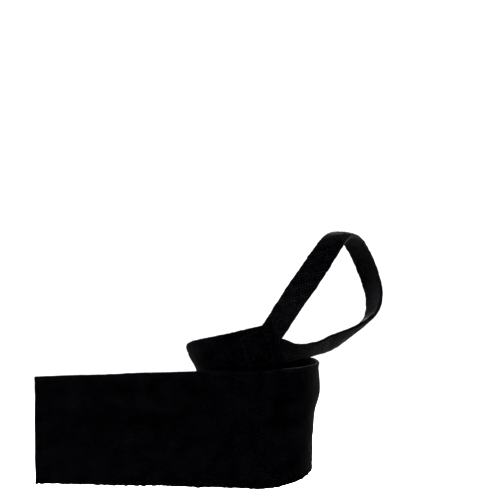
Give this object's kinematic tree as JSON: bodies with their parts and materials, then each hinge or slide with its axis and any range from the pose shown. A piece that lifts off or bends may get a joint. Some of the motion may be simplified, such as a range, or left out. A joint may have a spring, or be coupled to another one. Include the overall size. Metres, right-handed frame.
{
  "type": "boxing hand wrap",
  "caption": "Woven hand wrap in its worn form: a thumb loop of narrow tape sewn to a wide band that is wound round the wrist, with its free tail held out to the side.",
  "frame": {"origin": "on the wrist's axis, level with the middle of the band where it crosses the palm side", "axes": "+Z along the forearm to the fingers, -Y to the palm side, +X to the thumb side"},
  "size_m": [0.1869, 0.0504, 0.1343],
  "materials": {
    "woven_band": "matte black stretch weave",
    "loop_tape": "matte black narrow tape"
  },
  "bodies": {
    "root": {"wrap_band": "woven_band", "thumb_loop": "loop_tape"}
  },
  "joints": []
}
